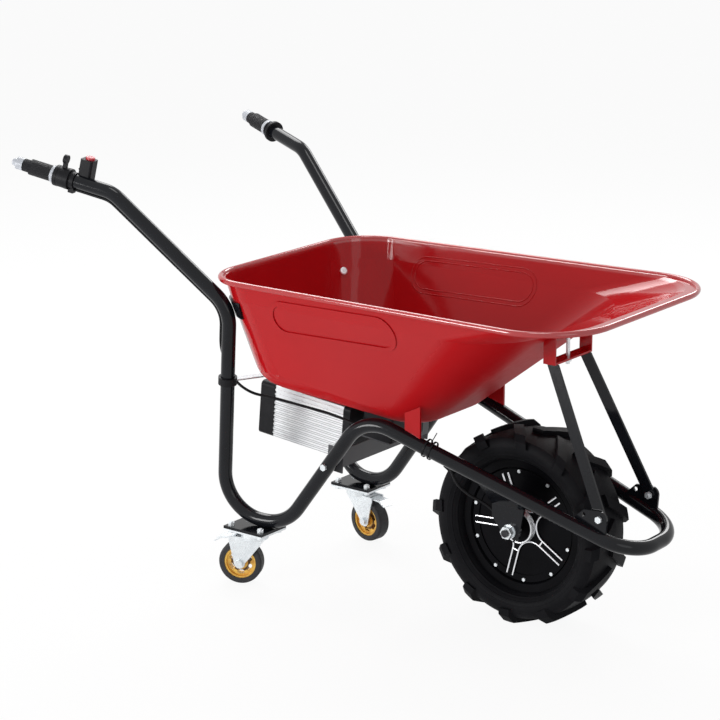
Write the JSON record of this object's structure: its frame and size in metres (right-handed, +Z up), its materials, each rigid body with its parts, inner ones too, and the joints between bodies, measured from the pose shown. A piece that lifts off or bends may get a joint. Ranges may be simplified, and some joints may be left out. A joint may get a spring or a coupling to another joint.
{
  "type": "electric wheelbarrow",
  "caption": "Powered wheelbarrow: pressed red tray on a bent black tube frame, hub-motor drive wheel with chevron tyre, rear swivel castors, slide-in battery, thumb throttle.",
  "frame": {"origin": "on the ground, under the middle of the box around the whole barrow", "axes": "+X forward from the handles to the drive wheel, +Y to the operator's left, +Z up"},
  "size_m": [1.3806, 0.7842, 0.9157],
  "materials": {
    "black_frame": "satin black powder coat",
    "tray_red": "gloss red enamel",
    "zinc": "bright zinc plate",
    "bar_steel": "plain steel",
    "motor_core": "laminated iron",
    "hub_black": "black coated aluminium",
    "tyre_rubber": "moulded rubber",
    "castor_rubber": "moulded rubber",
    "castor_gold": "yellow passivated steel",
    "grip_rubber": "knurled rubber",
    "grip_light": "light grey moulding",
    "black_plastic": "black moulding",
    "button_red": "red moulding",
    "lens_red": "red lens",
    "case_aluminium": "brushed ribbed extrusion",
    "cell_wrap": "shrink wrap",
    "lead_rubber": "cable sheath"
  },
  "bodies": {
    "frame": {"axle": "bar_steel", "axle_nuts": "zinc", "bar_stubs": "bar_steel", "battery_rail": "black_frame", "brace_lugs": "black_frame", "cable_ties": "black_plastic", "castor_pads": "black_frame", "castor_plate_left": "zinc", "castor_plate_right": "zinc", "controller_box": "black_plastic", "cross_plate": "black_frame", "dropouts": "black_frame", "fork_bow": "black_frame", "fork_rail_left": "black_frame", "fork_rail_right": "black_frame", "frame_bolts": "zinc", "front_brace_left": "black_frame", "front_brace_right": "black_frame", "front_bracket": "tray_red", "grip_collars": "grip_light", "grip_ends": "grip_light", "grip_left": "grip_rubber", "grip_right": "grip_rubber", "handle_tube_left": "black_frame", "handle_tube_right": "black_frame", "handlebar_lead": "lead_rubber", "left_flange": "black_plastic", "leg_clamps": "black_plastic", "leg_tube_left": "black_frame", "leg_tube_right": "black_frame", "lower_brackets": "tray_red", "motor_lead": "lead_rubber", "rear_strap": "zinc", "rear_tabs": "black_frame", "stator": "motor_core", "switch_pod": "black_plastic", "throttle_housing": "black_plastic", "tray": "tray_red"},
    "drive_wheel": {"hub_rim": "hub_black", "side_cover_right": "hub_black", "side_cover_left": "hub_black", "cover_screws": "zinc", "drive_tyre": "tyre_rubber", "hub_bearings": "bar_steel", "magnet_ring": "motor_core"},
    "throttle": {"throttle_lever": "black_plastic"},
    "button": {"power_button": "button_red"},
    "rocker": {"selector_rocker": "black_plastic"},
    "battery": {"battery_case": "case_aluminium", "battery_caps": "black_plastic", "battery_cells": "cell_wrap", "tail_lens": "lens_red"},
    "castor_swivel_right": {"castor_fork_right": "zinc"},
    "castor_wheel_right": {"castor_core_right": "castor_gold", "castor_tyre_right": "castor_rubber"},
    "castor_brake_right": {"castor_pedal_right": "zinc"},
    "castor_swivel_left": {"castor_fork_left": "zinc"},
    "castor_wheel_left": {"castor_core_left": "castor_gold", "castor_tyre_left": "castor_rubber"},
    "castor_brake_left": {"castor_pedal_left": "zinc"}
  },
  "joints": [
    {"name": "drive_wheel_spin", "type": "hinge", "parent": "frame", "child": "drive_wheel", "pos_m": [0.37633, 0, 0.205], "axis": [0, 1, 0], "continuous": true},
    {"name": "throttle_press", "type": "hinge", "parent": "frame", "child": "throttle", "pos_m": [-0.57468, -0.35, 0.867], "axis": [-0.9403, -0.265, 0.2137], "range_deg": [0, 50], "stiffness_Nm_per_rad": 0.15},
    {"name": "power_button_press", "type": "slide", "parent": "frame", "child": "button", "axis": [-0.2057, -0.058, -0.9769], "range_m": [0, 0.0025], "stiffness_N_per_m": 600},
    {"name": "selector_tip", "type": "hinge", "parent": "frame", "child": "rocker", "pos_m": [-0.54022, -0.32575, 0.88492], "axis": [0.2713, -0.9625, 0], "range_deg": [-8, 8]},
    {"name": "battery_slide", "type": "slide", "parent": "frame", "child": "battery", "axis": [-0.9962, 0, 0.0872], "range_m": [0, 0.25]},
    {"name": "castor_swivel_right", "type": "hinge", "parent": "frame", "child": "castor_swivel_right", "pos_m": [-0.19967, -0.188, 0.103], "axis": [0, 0, 1], "continuous": true},
    {"name": "castor_spin_right", "type": "hinge", "parent": "castor_swivel_right", "child": "castor_wheel_right", "pos_m": [-0.22707, -0.2002, 0.0475], "axis": [0.4067, -0.9135, 0], "continuous": true},
    {"name": "castor_brake_right", "type": "hinge", "parent": "castor_swivel_right", "child": "castor_brake_right", "pos_m": [-0.24169, -0.20671, 0.101], "axis": [0.4067, -0.9135, 0], "range_deg": [0, 12]},
    {"name": "castor_swivel_left", "type": "hinge", "parent": "frame", "child": "castor_swivel_left", "pos_m": [-0.19967, 0.188, 0.103], "axis": [0, 0, 1], "continuous": true},
    {"name": "castor_spin_left", "type": "hinge", "parent": "castor_swivel_left", "child": "castor_wheel_left", "pos_m": [-0.16996, 0.18382, 0.0475], "axis": [0.1392, 0.9903, 0], "continuous": true},
    {"name": "castor_brake_left", "type": "hinge", "parent": "castor_swivel_left", "child": "castor_brake_left", "pos_m": [-0.15411, 0.1816, 0.101], "axis": [0.1392, 0.9903, 0], "range_deg": [0, 12]}
  ]
}
